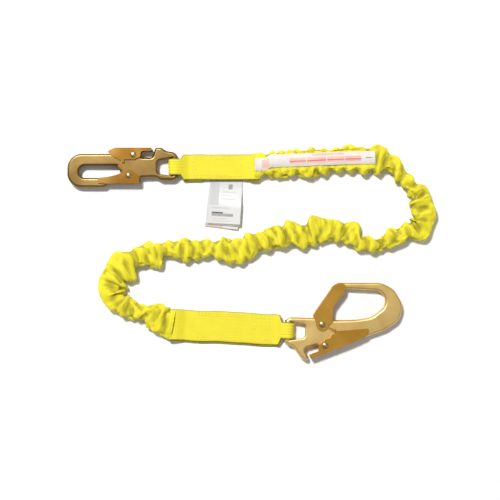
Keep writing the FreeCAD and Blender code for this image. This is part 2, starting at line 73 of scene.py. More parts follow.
# Deep creases across the jacket: (x, y) in metres, depth in mm, and the side that they open on
CREASES = [
    (0.198, 0.122, 4.0, 0), (0.217, 0.100, 3.5, 1), (0.240, 0.078, 5.0, -1), (0.244, 0.040, 4.0, 1),
    (0.215, 0.024, 4.0, -1), (0.170, 0.016, 5.0, 1), (0.140, 0.028, 3.5, 0), (0.118, 0.033, 4.0, 1),
    (0.094, 0.027, 5.0, 0), (0.066, 0.022, 4.5, -1), (0.044, 0.015, 5.0, -1), (0.014, 0.008, 4.0, 0),
    (-0.002, 0.004, 4.5, 1), (-0.027, 0.003, 4.0, 0), (-0.055, 0.004, 5.0, 1), (-0.070, 0.005, 4.5, 0),
    (-0.089, 0.003, 5.0, 1), (-0.100, 0.002, 4.0, -1), (-0.128, -0.007, 3.5, 0), (-0.152, -0.025, 4.5, 1),
    (-0.163, -0.042, 5.0, 0), (-0.150, -0.066, 4.5, 1), (-0.112, -0.079, 3.5, -1),
    (-0.085, -0.090, 6.0, 1),
]

# The jacket's mesh
RING_STEP = 2.4 * MM
AROUND = 48
CUFF = 2.5 * MM             # how far its end reaches past the line's end, over the webbing
HEM = 1.1 * MM              # how thick its turned-in end is
MOUTH_DEPTH = 8 * MM        # how far that end goes back inside
MOUTH_LENGTH = 14 * MM      # over which it opens to its full height
END_HEIGHT = 5.0            # half its height at the ends, and how much more between them, in mm
OPEN_HEIGHT = 3.6
OPEN_SWELL = 1.6

# How the jacket gathers: folds to start from, spare length, and the links that hold the cloth
FOLD_LENGTH = 9 * MM
CREASE_WIDTH = 2.3 * MM
CREASE_SLANT = 9 * MM
CREASE_BOW = 1.5 * MM
CREASE_END = 9 * MM
FULLNESS = 1.36
EVENNESS = 0.65
GATHER_STEPS = 260
PULL_BACK = 0.012
HOLD_ALONG = 0.9
HOLD_AROUND = 0.7
HOLD_SHEAR = 0.12
HOLD_FLAT = 0.30
KEEP_BOW = 0.5
STEP_SHARE = 0.5
MAX_SHIFT = 5.5 * MM
PROUD = 23.4 * MM
FLOOR_GAP = 0.35 * MM
FLOOR_SOFT = 0.7 * MM
WRINKLE_PITCH = 6.5 * MM
WRINKLE_DEPTH = 0.85 * MM
WRINKLE_INSET = 22 * MM     # none of them so near the ends, and how softly they begin
WRINKLE_FADE = 12 * MM

# What is inside the jacket, and the room that the cloth leaves it
CORE_REACH = 13 * MM
CORE_LEAST = 2 * MM
CORE_INSET = 3 * MM
CORE_RISE = 6.7 * MM
CORE_PLAY = 1.0 * MM
BAND_INSET = 5
BAND_LEAST = 1.2 * MM
BAND_SHARE = 0.84
BAND_PLAY = 2.6 * MM
ELASTIC_HEIGHT = 4.0 * MM
UP = np.array([0.0, 0.0, 1.0])

# The straps: doubled webbing from a loop round each hook's bar to its end in the jacket
WEB = 3.0 * MM
BAR_HEIGHT = 8.3 * MM
LOOP = 4.8 * MM             # from the bar's middle to the webbing's inner face
LOOP_WIDTH = 21.0 * MM
NECK = 12.2 * MM            # where the webbing has its full width, and the length of its shoulder
SHOULDER = 4.6 * MM
MEET = 20 * MM
RISE = 17 * MM
HIDDEN = 5 * MM
PEEK = 2.4 * MM             # how far the lower layer shows beyond the upper one
STRAIGHT_FADE = 7 * MM
SHADED_EDGE = 4 * MM             # how wide the painted shade along the selvedge is, on the lower and the upper layer
SHADED_EDGE_TOP = 1.6 * MM
PLEAT = 0.4 * MM
THREAD_LIFT = 0.02 * MM     # stitching: rows along each edge, and rows across
EDGE_ROWS = (3.0 * MM, 6.0 * MM)
ROWS_START = 24 * MM
ROWS_END = 30 * MM
CROSS_ROWS = (24.5 * MM, 28 * MM, 44 * MM)
CROSS_INSET = 7.5 * MM
BESIDE_TAG = (42 * MM, 93 * MM)     # the stretch that the booklet turns beside
# For each strap: the bar's place, its turn, the strap's length and width, the height of its middle
SNAP_STRAP = ((-0.0780, 0.1131), math.pi, 104.5 * MM, 33 * MM, 4.9 * MM)
LARGE_STRAP = ((0.0696, -0.0995), math.radians(-3), 148.8 * MM, 40 * MM, 3.4 * MM)

# The label and the booklet
LABEL_LENGTH = 156 * MM
LABEL_WIDTH = 17 * MM
LABEL_MIDDLE = Vector((0.1045, 0.1225, 0.01725))
LABEL_TURN = math.radians(1.6)
LABEL_BOW = 1.9 * MM
LABEL_FADE = 2.5 * MM       # how far beside it the jacket is still pressed down
LABEL_SWAY = 0.5 * MM
LABEL_LOW_END = 4.5 * MM
LABEL_GAP = 0.3 * MM
LABEL_SLACK = 1.6 * MM      # how far below it the jacket's top may lie
TOP_SIDE = 12 * MM          # cloth above this height is the jacket's top
TAG_TOP = Vector((-0.0104, 0.0964, 0.0001))
LEAN_FADE = 12 * MM         # the leaves share one hem, and lean and lift only beyond it
HEM_FLAT = 7 * MM
# Bars that stand for print: (ink, from, to across, from, to along), in mm
LABEL_BARS = [
    (1, -4.0, 3.0, 45, 138), (2, -2.2, -0.6, 45, 138), (0, -4.0, 3.0, 66, 67.5),
    (0, -4.0, 3.0, 92, 93.5), (0, -4.0, 3.0, 116, 117), (1, 4.6, 7.2, 74, 116),
    (3, -1.0, 0.4, 143, 152), (1, -4.5, 6.0, 9, 18),
]
TAG_BARS = [
    (1, -20, -9, 2, 33), (2, 3.5, 8.5, 5.5, 11.5), (1, -4, 14, 15, 16.2), (1, -4, 8, 19, 20),
    (1, -4, 12, 24, 25.4), (1, -16, 6, 35.5, 37.5), (3, -17, -2, 42, 44.2),
    (2, -17, 11.5, 44.2, 47.2), (1, -16, 4, 50, 51), (1, -16, 9, 53, 54),
]
BACK_BARS = [(4, -22, 2, 57.5, 63.5)]

# Colours of the cloth: the thread, a darker dye, and painted shade for the jacket's folds and the
# webbing's edges
JACKET_YELLOW = (0.88, 0.785, 0.018, 1)
JACKET_SHADE = (0.72, 0.62, 0.012, 1)
# Painted shade: the colour that the jacket's fold valleys and wrinkles are darkened towards
JACKET_FOLD_SHADE = (0.21, 0.165, 0.004, 1)
YELLOW = (0.85, 0.74, 0.028, 1)
YELLOW_SHADE = (0.72, 0.60, 0.017, 1)
# Painted shade: the colour of the webbing's selvedges, where the upper layer shades the lower one
WEBBING_EDGE_SHADE = (0.20, 0.165, 0.006, 1)
SOIL = (0.45, 0.38, 0.12, 1)
# Colours that the plating drifts towards: passivation's green, and the bare metal of scuffs
GREEN_TINT = (0.62, 0.60, 0.34, 1)
BARE_TINT = (0.80, 0.74, 0.58, 1)


# -------- camera and light

def studio():
    """A camera straight above, a pale floor, a soft key light from the upper left, a bright room."""
    camera = bpy.data.objects.new("camera", bpy.data.cameras.new("camera"))
    camera.data.lens = 85
    camera.location = (0.0202, 0.0052, 1.5437)
    bpy.context.scene.collection.objects.link(camera)
    bpy.context.scene.camera = camera
    bpy.context.scene.view_settings.view_transform = "Standard"

    plate = bpy.data.meshes.new("floor")
    side = 6.0
    plate.from_pydata([(-side, -side, 0), (side, -side, 0), (side, side, 0), (-side, side, 0)],
                      [], [(0, 1, 2, 3)])
    floor = bpy.data.objects.new("floor", plate)
    bpy.context.scene.collection.objects.link(floor)
    material, shader = new_material("floor")
    shader.inputs["Base Color"].default_value = (0.93, 0.93, 0.93, 1)
    shader.inputs["Roughness"].default_value = 0.9
    plate.materials.append(material)

    add_light("key", (-1.0, 1.65, 3.3), 0.6, 156)
    add_light("fill", (1.6, -0.6, 3.0), 2.4, 7)
    world = bpy.data.worlds.new("room")
    world.use_nodes = True
    background = world.node_tree.nodes["Background"]
    background.inputs["Color"].default_value = (1.0, 1.0, 1.0, 1)
    height = put(world, "SeparateXYZ", {"Vector": put(world, "TexCoord", {}).outputs["Generated"]})
    glow = spread(world, height.outputs[2], 0.0, 0.45, 0.85, 0.24)
    feed(world, glow, background.inputs["Strength"])
    bpy.context.scene.world = world


def add_light(name, place, size, power):
    """A square lamp that faces the middle of the lanyard; power is in watts."""
    data = bpy.data.lights.new(name, "AREA")
    data.size = size
    data.energy = power
    light = bpy.data.objects.new(name, data)
    light.location = place
    light.rotation_euler = (Vector((0.02, 0, 0)) - Vector(place)).to_track_quat("-Z", "Y").to_euler()
    bpy.context.scene.collection.objects.link(light)


# -------- materials

def new_material(name):
    """A node material, and its main shader."""
    material = bpy.data.materials.new(name)
    material.use_nodes = True
    return material, material.node_tree.nodes["Principled BSDF"]


def put(material, kind, values, **settings):
    """A new node; a value that is a socket is linked, any other is set."""
    made = material.node_tree.nodes.new("ShaderNode" + kind)
    for key, value in settings.items():
        setattr(made, key, value)
    for name, value in values.items():
        feed(material, value, made.inputs[name])
    return made


def feed(material, value, socket):
    """Links the value if it is a socket, and sets it if it is a number, colour or vector."""
    if isinstance(value, bpy.types.NodeSocket):
        material.node_tree.links.new(value, socket)
    else:
        socket.default_value = value


def math_node(material, operation, first, second=0.0):
    """The result of a Math node on two sockets or numbers."""
    return put(material, "Math", {0: first, 1: second}, operation=operation).outputs[0]


def blend_colours(material, share, first, second):
    """The first colour where share is 0, the second where it is 1."""
    mix = put(material, "Mix", {0: share, 6: first, 7: second}, data_type="RGBA")
    return mix.outputs[2]


def spread(material, value, low, high, to_low=0.0, to_high=1.0):
    """The value's range from low to high, stretched to another range and held within it."""
    return put(material, "MapRange", {"Value": value, "From Min": low, "From Max": high,
                                      "To Min": to_low, "To Max": to_high}).outputs[0]


def place_of(material, uv):
    """UVs in metres where a piece has them, its own place in the frame where it doesn't."""
    coordinates = put(material, "TexCoord", {})
    return coordinates.outputs["UV" if uv else "Object"]


def woven(name, colour, shade, pitch, depth, uv=True, rough=0.75, sheen=0.25, mottled=0.5,
          wale=0.0, soil=0.0, painted_shade=None):
    """Woven cloth: over-and-under threads, uneven dye, a nap; wale adds ribs along the cloth.

    The last argument is the colour of painted shade, laid into the folds and edges where the point
    attribute of the same name is near 1.
    """
    material, shader = new_material(name)
    place = place_of(material, uv)
    split = put(material, "SeparateXYZ", {"Vector": place})
    along = math_node(material, "MULTIPLY", split.outputs[0], math.pi / pitch)
    across = math_node(material, "MULTIPLY", split.outputs[1], math.pi / pitch)
    warp = math_node(material, "ABSOLUTE", math_node(material, "SINE", across))
    weft = math_node(material, "ABSOLUTE", math_node(material, "SINE", along))
    sum_of = math_node(material, "ADD", across, along)
    twill = math_node(material, "MULTIPLY", math_node(material, "SINE", sum_of), 0.5)
    weave = math_node(material, "ADD", math_node(material, "MULTIPLY", warp, weft), twill)
    height = weave
    if wale:
        rib = math_node(material, "SINE", math_node(material, "MULTIPLY", split.outputs[1],
                                                    2 * math.pi / wale))
        height = math_node(material, "ADD", weave, math_node(material, "MULTIPLY", rib, 0.45))
    fuzz = put(material, "TexNoise", {"Vector": place, "Scale": 900.0, "Detail": 3.0})
    height = math_node(material, "ADD", height, fuzz.outputs[0])
    blotch = put(material, "TexNoise", {"Vector": place, "Scale": 38.0, "Detail": 5.0,
                                        "Roughness": 0.6})
    uneven = spread(material, blotch.outputs[0], 0.35, 0.7, 0.0, mottled)
    tint = blend_colours(material, uneven, colour, shade)
    thread = spread(material, weave, -0.4, 1.4, 0.35, 0.0)
    tint = blend_colours(material, thread, tint, shade)
    if soil:
        dust = put(material, "TexNoise", {"Vector": place, "Scale": 11.0, "Detail": 7.0,
                                          "Roughness": 0.72})
        dirty = spread(material, dust.outputs[0], 0.56, 0.74, 0.0, soil)
        tint = blend_colours(material, dirty, tint, SOIL)
    # Painted shade: the cloth darkens towards the given colour by a share stored on each point, in the
    # jacket's folds and along the webbing's edges
    if painted_shade:
        valley = put(material, "Attribute", {}, attribute_name="painted_shade").outputs["Fac"]
        ragged = spread(material, blotch.outputs[0], 0.3, 0.7, 0.75, 1.0)
        tint = blend_colours(material, math_node(material, "MULTIPLY", valley, ragged), tint, painted_shade)
    feed(material, tint, shader.inputs["Base Color"])
    roughness = spread(material, fuzz.outputs[0], 0.3, 0.7, rough - 0.12, rough + 0.12)
    feed(material, roughness, shader.inputs["Roughness"])
    shader.inputs["Sheen Weight"].default_value = sheen
    shader.inputs["Sheen Roughness"].default_value = 0.45
    bump = put(material, "Bump", {"Height": height, "Strength": 0.75, "Distance": depth})
    feed(material, bump.outputs[0], shader.inputs["Normal"])
    return material


def plated(name, colour, tint, rough=0.34, grain=1100.0, bite=0.04 * MM, wear=0.3):
    """Zinc plate over steel: a satin grain, drifting yellow and red tints, and paler scuffs."""
    material, shader = new_material(name)
    place = place_of(material, False)
    drift = put(material, "TexNoise", {"Vector": place, "Scale": 42.0, "Detail": 2.5,
                                       "Distortion": 0.6})
    patches = spread(material, drift.outputs[0], 0.30, 0.72)
    body = blend_colours(material, patches, colour, tint)
    cloud = put(material, "TexNoise", {"Vector": place, "Scale": 23.0, "Detail": 6.0})
    greener = spread(material, cloud.outputs[0], 0.5, 0.72, 0.0, 0.3)
    pale = tuple(0.75 * c + 0.25 * g for c, g in zip(colour, GREEN_TINT))
    body = blend_colours(material, greener, body, pale)
    scuff = put(material, "TexNoise", {"Vector": place, "Scale": 140.0, "Detail": 9.0,
                                       "Roughness": 0.75})
    worn = spread(material, scuff.outputs[0], 0.58, 0.76, 0.0, wear)
    bright = tuple(0.6 * c + 0.4 * g for c, g in zip(colour, BARE_TINT))
    body = blend_colours(material, worn, body, bright)
    feed(material, body, shader.inputs["Base Color"])
    shader.inputs["Metallic"].default_value = 0.9
    fine = put(material, "TexNoise", {"Vector": place, "Scale": grain, "Detail": 8.0,
                                      "Roughness": 0.62})
    pits = put(material, "TexVoronoi", {"Vector": place, "Scale": grain * 0.5})
    height = math_node(material, "ADD", fine.outputs[0],
                       math_node(material, "MULTIPLY", pits.outputs[0], 0.35))
    roughness = spread(material, cloud.outputs[0], 0.3, 0.7, rough - 0.05, rough + 0.07)
    feed(material, roughness, shader.inputs["Roughness"])
    bump = put(material, "Bump", {"Height": height, "Strength": 0.6, "Distance": bite})
    feed(material, bump.outputs[0], shader.inputs["Normal"])
    return material


def printed(name, colour, shade, rough=0.55, coat=0.0):
    """Coated paper or print: a fine tooth, faint marks, a little gloss."""
    material, shader = new_material(name)
    place = place_of(material, False)
    tooth = put(material, "TexNoise", {"Vector": place, "Scale": 500.0, "Detail": 6.0})
    marks = put(material, "TexNoise", {"Vector": place, "Scale": 60.0, "Detail": 6.0,
                                       "Roughness": 0.7})
    share = spread(material, marks.outputs[0], 0.45, 0.75, 0.0, 0.8)
    feed(material, blend_colours(material, share, colour, shade), shader.inputs["Base Color"])
    roughness = spread(material, tooth.outputs[0], 0.3, 0.7, rough - 0.08, rough + 0.1)
    feed(material, roughness, shader.inputs["Roughness"])
    shader.inputs["Coat Weight"].default_value = coat
    shader.inputs["Coat Roughness"].default_value = 0.25
    bump = put(material, "Bump", {"Height": tooth.outputs[0], "Strength": 0.5,
                                  "Distance": 0.04 * MM})
    feed(material, bump.outputs[0], shader.inputs["Normal"])
    return material


# -------- meshes

def make(name, points, faces, materials, uvs=None):
    """A smooth-shaded mesh piece; uvs is one pair for each point, in metres."""
    mesh = bpy.data.meshes.new(name)
    mesh.from_pydata([tuple(p) for p in points], [], faces)
    for material in materials:
        mesh.materials.append(material)
    mesh.shade_smooth()
    if uvs is not None:
        layer = mesh.uv_layers.new(name="cloth")
        loops = np.zeros(len(mesh.loops), np.int32)
        mesh.loops.foreach_get("vertex_index", loops)
        layer.data.foreach_set("uv", np.asarray(uvs, np.float32)[loops].ravel())
    mesh.update()
    made = bpy.data.objects.new(name, mesh)
    bpy.context.scene.collection.objects.link(made)
    return made


def ring_faces(rings, around):
    """Quads between rings of points, with flat ends."""
    faces = []
    for i in range(rings - 1):
        for j in range(around):
            k = (j + 1) % around
            faces.append((i * around + j, i * around + k, (i + 1) * around + k,
                          (i + 1) * around + j))
    faces.append(tuple(reversed(range(around))))
    faces.append(tuple(range((rings - 1) * around, rings * around)))
    return faces


def ring_uvs(distances, rings):
    """Distance along and distance around each ring, in metres; the seam is underneath."""
    uvs = []
    for distance, ring in zip(distances, rings):
        steps = np.linalg.norm(np.roll(ring, -1, axis=0) - ring, axis=1)
        around = np.concatenate([[0], np.cumsum(steps)[:-1]])
        uvs += [(distance, a) for a in around]
    return uvs


def rings_to_piece(name, rings, distances, material):
    """A closed tube through rings of points, with the distance of each ring along the cloth."""
    points = np.concatenate(rings)
    faces = ring_faces(len(rings), len(rings[0]))
    return make(name, points, faces, [material], ring_uvs(distances, rings))


def subdivide(piece):
    """One Catmull-Clark step, applied."""
    modifier = piece.modifiers.new("smooth", "SUBSURF")
    modifier.levels = 1
    modifier.render_levels = 1
    done = bpy.data.meshes.new_from_object(piece.evaluated_get(bpy.context.evaluated_depsgraph_get()))
    done.name = piece.name
    piece.modifiers.clear()
    piece.data = done


def set_values(piece, name, values):
    """Stores one number for each point; one of them is how far the cloth takes its painted shade."""
    layer = piece.data.attributes.get(name) or piece.data.attributes.new(name, "FLOAT", "POINT")
    layer.data.foreach_set("value", np.asarray(values, np.float32).ravel())


def get_values(piece, name):
    """Reads back what set_values stored, as it is on the mesh now."""
    values = np.zeros(len(piece.data.vertices), np.float32)
    piece.data.attributes[name].data.foreach_get("value", values)
    return values


def finish_piece(piece, body, node):
    """Puts the piece on the body that it rides on, and hides the CAD node that it stands for."""
    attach(piece, body)
    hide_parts(node)


def smooth_step(t):
    """0 below 0, 1 above 1, and level at both."""
    t = np.clip(t, 0, 1)
    return t * t * (3 - 2 * t)


# -------- route

def route_points():
    """Evenly spaced points read from the route's NURBS spline, and their distances along it."""
    curve = bpy.data.curves.new("route", "CURVE")
    curve.dimensions = "3D"
    spline = curve.splines.new("NURBS")
    spline.points.add(len(ROUTE) - 1)
    for point, (x, y) in zip(spline.points, ROUTE):
        point.co = (x, y, JACKET_MIDDLE, 1)
    spline.order_u = 3
    spline.use_endpoint_u = True
    spline.resolution_u = 24
    carrier = bpy.data.objects.new("route", curve)
    bpy.context.scene.collection.objects.link(carrier)
    mesh = bpy.data.meshes.new_from_object(carrier)
    read = np.array([tuple(v.co) for v in mesh.vertices])
    bpy.data.objects.remove(carrier)
    gone = np.concatenate([[0], np.cumsum(np.linalg.norm(np.diff(read, axis=0), axis=1))])
    distances = np.linspace(0, gone[-1], int(gone[-1] / RING_STEP) + 1)
    line = np.stack([np.interp(distances, gone, read[:, k]) for k in range(3)], axis=1)
    return line, distances


def sides():
    """The unit vectors to the left of the jacket's line and along it, at each point."""
    way = np.gradient(LINE, axis=0)
    way /= np.linalg.norm(way, axis=1)[:, None]
    return np.stack([-way[:, 1], way[:, 0], np.zeros(len(way))], axis=1), way


def eased(x, xs, ys):
    """Interpolation through the stations with a level tangent at each, so that none overshoots."""
    i = np.clip(np.searchsorted(xs, x) - 1, 0, len(xs) - 2)
    t = smooth_step((x - xs[i]) / (xs[i + 1] - xs[i]))
    return ys[i] * (1 - t) + ys[i + 1] * t


def jacket_reach():
    """Left and right half widths along the jacket."""
    table = np.array(JACKET_SHAPE, float) * MM
    left = eased(ALONG, table[:, 0], table[:, 1])
    right = eased(ALONG, table[:, 0], table[:, 2])
    return left, right


def folds(distance, angle):
    """Folds to start from, in mm: soft ridges with sharp valleys, about FOLD_LENGTH apart."""
    c = math.cos(angle)
    s = math.sin(angle)
    slant = distance + 3.5 * MM * noise.noise(Vector((distance / (30 * MM), 1.3 * c, 1.3 * s + 40)))
    fine = abs(noise.noise(Vector((slant / FOLD_LENGTH * 0.9, 0.9 * c, 0.9 * s + 5))))
    coarse = abs(noise.noise(Vector((slant / FOLD_LENGTH * 0.4 + 7, 0.7 * c + 11, 0.7 * s))))
    return 4.2 * fine + 4.6 * coarse - 2.2


def creases():
    """Each crease's distance along the jacket, its depth and its side, with small ones between."""
    draw = random.Random(11)
    found = []
    for x, y, depth, side in CREASES:
        away = np.linalg.norm(LINE[:, :2] - (x, y), axis=1)
        found.append((ALONG[int(np.argmin(away))], depth, side, draw.uniform(-0.35, 0.35)))
    place = 12 * MM
    while place < ALONG[-1] - 14 * MM:
        found.append((place, draw.uniform(1.0, 2.4), draw.choice((-1, 0, 1)), draw.uniform(-0.5, 0.5)))
        place += draw.uniform(9, 17) * MM
    return found


def crease_depth(distance, angle, found):
    """How far the creases draw the jacket in at a place, in mm."""
    total = 0.0
    for place, depth, side, slant in found:
        bend = slant * CREASE_SLANT * math.sin(angle) + CREASE_BOW * math.cos(2 * angle)
        gap = distance - place - bend
        if abs(gap) < CREASE_END:
            share = 1.0 if side == 0 else 0.5 + 0.5 * side * math.cos(angle)
            total += depth * share * math.exp(-(gap / CREASE_WIDTH) ** 2)
    return total


def label_drop(across):
    """How far the label bows down over the jacket's shoulders, away from its middle."""
    return -LABEL_BOW * np.clip(np.abs(across) / (LABEL_WIDTH / 2), 0, 1.15) ** 2


def label_cover(points):
    """1 under the label, fading to 0 just outside it; and the place across the label."""
    right = points[..., 0] - LABEL_MIDDLE.x
    ahead = points[..., 1] - LABEL_MIDDLE.y
    x = right * math.cos(LABEL_TURN) + ahead * math.sin(LABEL_TURN)
    y = ahead * math.cos(LABEL_TURN) - right * math.sin(LABEL_TURN)
    beyond = np.maximum(np.abs(x) - LABEL_LENGTH / 2, np.abs(y) - LABEL_WIDTH / 2)
    return 1 - smooth_step(beyond / LABEL_FADE), y


def jacket_rings():
    """The jacket before it is gathered: one ring of points round the line at each step."""
    side = sides()[0]
    left, right = jacket_reach()
    length = ALONG[-1]
    angles = np.arange(AROUND) * 2 * math.pi / AROUND - math.pi / 2
    found = creases()
    rings = []
    for i, distance in enumerate(ALONG):
        from_end = min(distance, length - distance)
        open_up = float(smooth_step(from_end / MOUTH_LENGTH))
        swell = noise.noise(Vector((distance / (24 * MM), 3.1, 0)))
        tall = (END_HEIGHT + (OPEN_HEIGHT + OPEN_SWELL * swell) * open_up) * MM
        ring = []
        for angle in angles:
            c = math.cos(angle)
            s = math.sin(angle)
            wide = left[i] if c > 0 else right[i]
            push = folds(distance, angle) * open_up - crease_depth(distance, angle, found)
            out = math.copysign(abs(c) ** 0.8, c) * wide + c * push * MM
            up = math.copysign(abs(s) ** 0.75, s) * tall + s * push * MM * 0.8
            ring.append(LINE[i] + side[i] * out + np.array([0, 0, up]))
        rings.append(np.array(ring))
    return np.array(rings)


def link_pull(first, second, rest, share):
    """Half of the move that brings each pair of points towards its rest length."""
    link = second - first
    length = np.maximum(np.linalg.norm(link, axis=-1), 1e-6)
    return (share * 0.5 * (1 - rest / length))[..., None] * link


def gather(start):
    """Cloth held by length, shear and bending links: its spare length buckles into folds."""
    cloth = start.copy()
    spacing = np.linalg.norm(np.diff(start, axis=0), axis=2)
    along = FULLNESS * ((1 - EVENNESS) * spacing + EVENNESS * RING_STEP)
    around = np.linalg.norm(np.roll(start, -1, axis=1) - start, axis=2)
    cross = np.sqrt(along ** 2 + around[:-1] ** 2)
    bow = (start[:-2] + start[2:]) / 2 - start[1:-1]
    for _ in range(GATHER_STEPS):
        move = (start - cloth) * PULL_BACK
        pull = link_pull(cloth[:-1], cloth[1:], along, HOLD_ALONG)
        move[:-1] += pull
        move[1:] -= pull
        pull = link_pull(cloth, np.roll(cloth, -1, axis=1), around, HOLD_AROUND)
        move += pull - np.roll(pull, 1, axis=1)
        for shift in (1, -1):
            pull = link_pull(cloth[:-1], np.roll(cloth, -shift, axis=1)[1:], cross, HOLD_SHEAR)
            move[:-1] += pull
            move[1:] -= np.roll(pull, shift, axis=1)
        flex = HOLD_FLAT * ((cloth[:-2] + cloth[2:]) / 2 - cloth[1:-1] - bow * KEEP_BOW)
        move[1:-1] += flex
        move[:-2] -= flex / 2
        move[2:] -= flex / 2
        move[:2] = 0
        move[-2:] = 0
        cloth += STEP_SHARE * move
        cloth = settle(cloth, start)
    return cloth


def core_reach():
    """How far what is inside the jacket reaches to the left and right, drawn in where it is."""
    return [np.clip(reach - CORE_INSET, CORE_LEAST, CORE_REACH) for reach in jacket_reach()]


def clear_core(cloth):
    """Moves cloth out of the space of the core and its two elastics."""
    side = sides()[0]
    away = cloth - LINE[:, None]
    out = (away * side[:, None]).sum(axis=2)
    up = away[..., 2]
    left, right = core_reach()
    reach = np.where(out > 0, left[:, None], right[:, None]) + CORE_PLAY
    size = ((out / reach) ** 4 + (up / CORE_RISE) ** 4) ** 0.25
    grow = 1 / np.clip(size, 0.2, 1) - 1
    return cloth + grow[..., None] * (side[:, None] * out[..., None] + up[..., None] * UP)


def settle(cloth, start):
    """Keeps the cloth near its line, off the floor, under the label and clear of the core."""
    cloth = clear_core(cloth)
    shift = cloth - start
    size = np.maximum(np.linalg.norm(shift, axis=2, keepdims=True), 1e-9)
    cloth = start + shift * np.minimum(1, MAX_SHIFT / size)
    away = cloth - LINE[:, None]
    size = np.maximum(np.linalg.norm(away, axis=2, keepdims=True), 1e-9)
    cloth = LINE[:, None] + away * np.minimum(1, PROUD / size)
    low = cloth[..., 2] < FLOOR_GAP + FLOOR_SOFT
    sunk = (cloth[..., 2][low] - FLOOR_GAP - FLOOR_SOFT) / FLOOR_SOFT
    cloth[..., 2][low] = FLOOR_GAP + FLOOR_SOFT * np.exp(sunk)
    cover, across = label_cover(cloth)
    under = label_drop(across) + LABEL_MIDDLE.z - LABEL_GAP
    top = cloth[..., 2] > TOP_SIDE
    cloth[..., 2] -= cover * np.maximum(cloth[..., 2] - under, 0)
    cloth[..., 2] += top * cover * np.maximum(under - LABEL_SLACK - cloth[..., 2], 0)
    return cloth


def valleys(rings):
    """How deep each point of the cloth lies between its neighbours along the jacket, 0 to 1, as its share
    of painted shade in the folds.
    """
    outward = rings - rings.mean(axis=1, keepdims=True)
    outward /= np.linalg.norm(outward, axis=2, keepdims=True)
    total = 0
    for reach, weight in ((1, 1.0), (2, 0.9), (4, 0.25)):
        padded = np.pad(rings, ((reach, reach), (0, 0), (0, 0)), mode="edge")
        near = (padded[:-2 * reach] + padded[2 * reach:]) / 2
        total = total + weight * ((near - rings) * outward).sum(axis=2)
    return 0.64 * smooth_step((total - 0.4 * MM) / (1.9 * MM))


def wrinkle(jacket, length):
    """Presses fine wrinkles into the gathered cloth, most of them across its length, and paints shade
    into them.
    """
    along = get_values(jacket, "along")
    ahead = get_values(jacket, "ahead")
    aside = get_values(jacket, "aside")
    press = np.zeros(len(along))
    for i, distance in enumerate(along):
        turn = Vector((distance / WRINKLE_PITCH, 0.9 * ahead[i], 0.9 * aside[i] + 3))
        patch = Vector((distance / (6 * WRINKLE_PITCH), ahead[i] + 8, aside[i]))
        press[i] = math.exp(-(noise.noise(turn) / 0.2) ** 2) * (0.65 + 0.7 * noise.noise(patch))
    inside = smooth_step((np.minimum(along, length - along) - WRINKLE_INSET) / WRINKLE_FADE)
    press *= inside
    places = np.zeros(len(along) * 3, np.float32)
    normals = np.zeros(len(along) * 3, np.float32)
    jacket.data.vertices.foreach_get("co", places)
    jacket.data.vertices.foreach_get("normal", normals)
    moved = places.reshape(-1, 3) - (WRINKLE_DEPTH * press)[:, None] * normals.reshape(-1, 3)
    jacket.data.vertices.foreach_set("co", moved.astype(np.float32).ravel())
    jacket.data.update()
    # Painted shade in the wrinkles, as strong as they are pressed in
    set_values(jacket, "painted_shade", np.clip(get_values(jacket, "painted_shade") + 0.35 * press, 0, 0.9))


def mouth(ring, way, reach, inset):
    """The jacket's end ring moved out over the webbing, or drawn in by the hem's thickness."""
    middle = ring.mean(axis=0)
    moved = ring - middle
    size = np.linalg.norm(moved, axis=1)[:, None]
    return middle + moved * (1 - inset / size) + way * reach


def build_jacket():
    """The gathered jacket with its two turned-in mouths, as one closed tube of cloth."""
    # The jacket's cloth darkens into painted shade in its folds
    cloth = woven("jacket_cloth", JACKET_YELLOW, JACKET_SHADE, 0.9 * MM, 0.12 * MM, mottled=0.5,
                  sheen=0.1, soil=0.15, painted_shade=JACKET_FOLD_SHADE)
    rings = jacket_rings()
    rings = settle(rings, rings)
    rings = gather(rings)
    way = sides()[1]
    turned_in = [(-MOUTH_DEPTH, HEM), (CUFF - 1 * MM, HEM), (CUFF, HEM / 2), (CUFF - 0.6 * MM, 0),
                 (CUFF - 3 * MM, 0), (CUFF / 3, 0)]
    first = [mouth(rings[0], -way[0], reach, inset) for reach, inset in turned_in]
    last = [mouth(rings[-1], way[-1], reach, inset) for reach, inset in reversed(turned_in)]
    whole = first + list(rings) + last
    spots = np.arange(len(whole)) * RING_STEP * FULLNESS
    jacket = rings_to_piece("gathered_jacket", whole, spots, cloth)
    # Painted shade in the fold valleys, darker where a point lies deeper between its neighbours
    set_values(jacket, "painted_shade", valleys(np.array(whole)))
    angles = np.tile(np.arange(AROUND) * 2 * math.pi / AROUND, len(whole))
    set_values(jacket, "along", np.repeat(spots, AROUND))
    set_values(jacket, "ahead", np.cos(angles))
    set_values(jacket, "aside", np.sin(angles))
    subdivide(jacket)
    wrinkle(jacket, spots[-1])
    finish_piece(jacket, "lanyard", "outer_jacket")
    return jacket


def inner_band(name, width, height, offset, material, node):
    """A flat band inside the jacket, drawn in where the jacket is, and short of both straps."""
    side = sides()[0]
    left, right = core_reach()
    rings = []
    for i in range(BAND_INSET, len(LINE) - BAND_INSET):
        half_left, half_right = [
            max(BAND_LEAST, min(width / 2, reach[i] * BAND_SHARE, reach[i] - BAND_PLAY))
            for reach in (left, right)]
        ring = []
        for j in range(16):
            angle = j * math.pi / 8
            c = math.cos(angle)
            s = math.sin(angle)
            out = math.copysign(abs(c) ** 0.35, c) * (half_left if c > 0 else half_right)
            up = math.copysign(abs(s) ** 0.5, s) * height / 2 + offset
            ring.append(LINE[i] + side[i] * out + UP * up)
        rings.append(np.array(ring))
    band = rings_to_piece(name, rings, ALONG[BAND_INSET:-BAND_INSET], material)
    finish_piece(band, "lanyard", node)
    return band


# -------- thread

